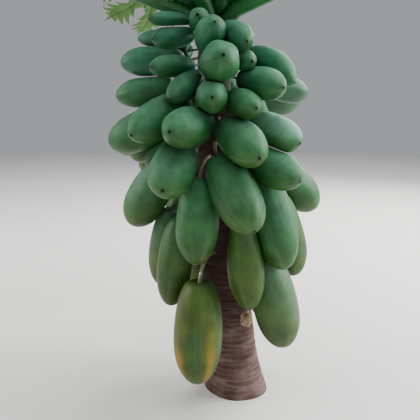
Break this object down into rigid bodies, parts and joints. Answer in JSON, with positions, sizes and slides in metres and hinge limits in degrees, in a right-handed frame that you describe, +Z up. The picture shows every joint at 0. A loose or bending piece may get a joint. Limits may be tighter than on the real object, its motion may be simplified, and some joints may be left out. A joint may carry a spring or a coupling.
{
  "type": "papaya tree",
  "caption": "Low papaya tree with a packed column of hanging green fruit round its trunk, the lowest ripening, under a crown of palmate leaves on long stalks.",
  "frame": {"origin": "on the ground, in the middle of the flat foot of the trunk", "axes": "+Z up; -Y is the side seen in the picture, where the ripening fruit hangs; +X is to the right there"},
  "size_m": [2.412, 2.3243, 2.1613],
  "materials": {
    "bark": "matt purplish-grey bark with ring scars of fallen leaves",
    "fruit": "waxy green skin with a pale bloom and a soft sheen",
    "ripening_fruit": "waxy olive-green skin with orange-yellow streaks",
    "leaf": "soft satin leaf with pale veins and pale stalks"
  },
  "bodies": {
    "root": {"trunk": "bark", "fruit_01": "ripening_fruit", "fruit_02": "fruit", "fruit_03": "fruit", "fruit_04": "fruit", "fruit_05": "fruit", "fruit_06": "fruit", "fruit_07": "fruit", "fruit_08": "fruit", "fruit_09": "fruit", "fruit_10": "fruit", "fruit_11": "fruit", "fruit_12": "fruit", "fruit_13": "fruit", "fruit_14": "fruit", "fruit_15": "fruit", "fruit_16": "fruit", "fruit_17": "fruit", "fruit_18": "fruit", "fruit_19": "fruit", "fruit_20": "fruit", "fruit_21": "fruit", "fruit_22": "fruit", "fruit_23": "fruit", "fruit_24": "fruit", "fruit_25": "fruit", "fruit_26": "fruit", "fruit_27": "fruit", "fruit_28": "fruit", "fruit_29": "fruit", "fruit_30": "fruit", "fruit_31": "fruit", "fruit_32": "fruit", "fruit_33": "fruit", "fruit_34": "fruit", "fruit_35": "fruit", "fruit_36": "fruit", "fruit_37": "fruit", "fruit_38": "fruit", "fruit_39": "fruit", "fruit_40": "fruit", "fruit_41": "fruit", "fruit_42": "fruit", "fruit_43": "fruit", "fruit_44": "fruit", "fruit_45": "fruit", "fruit_46": "fruit", "fruit_47": "fruit", "fruit_48": "fruit", "fruit_49": "fruit", "fruit_50": "fruit", "fruit_51": "fruit", "fruit_52": "fruit", "fruit_53": "fruit", "fruit_54": "fruit", "leaves_front": "leaf", "leaves_right": "leaf", "leaves_back": "leaf", "leaves_left": "leaf", "crown_bud": "leaf"}
  },
  "joints": []
}
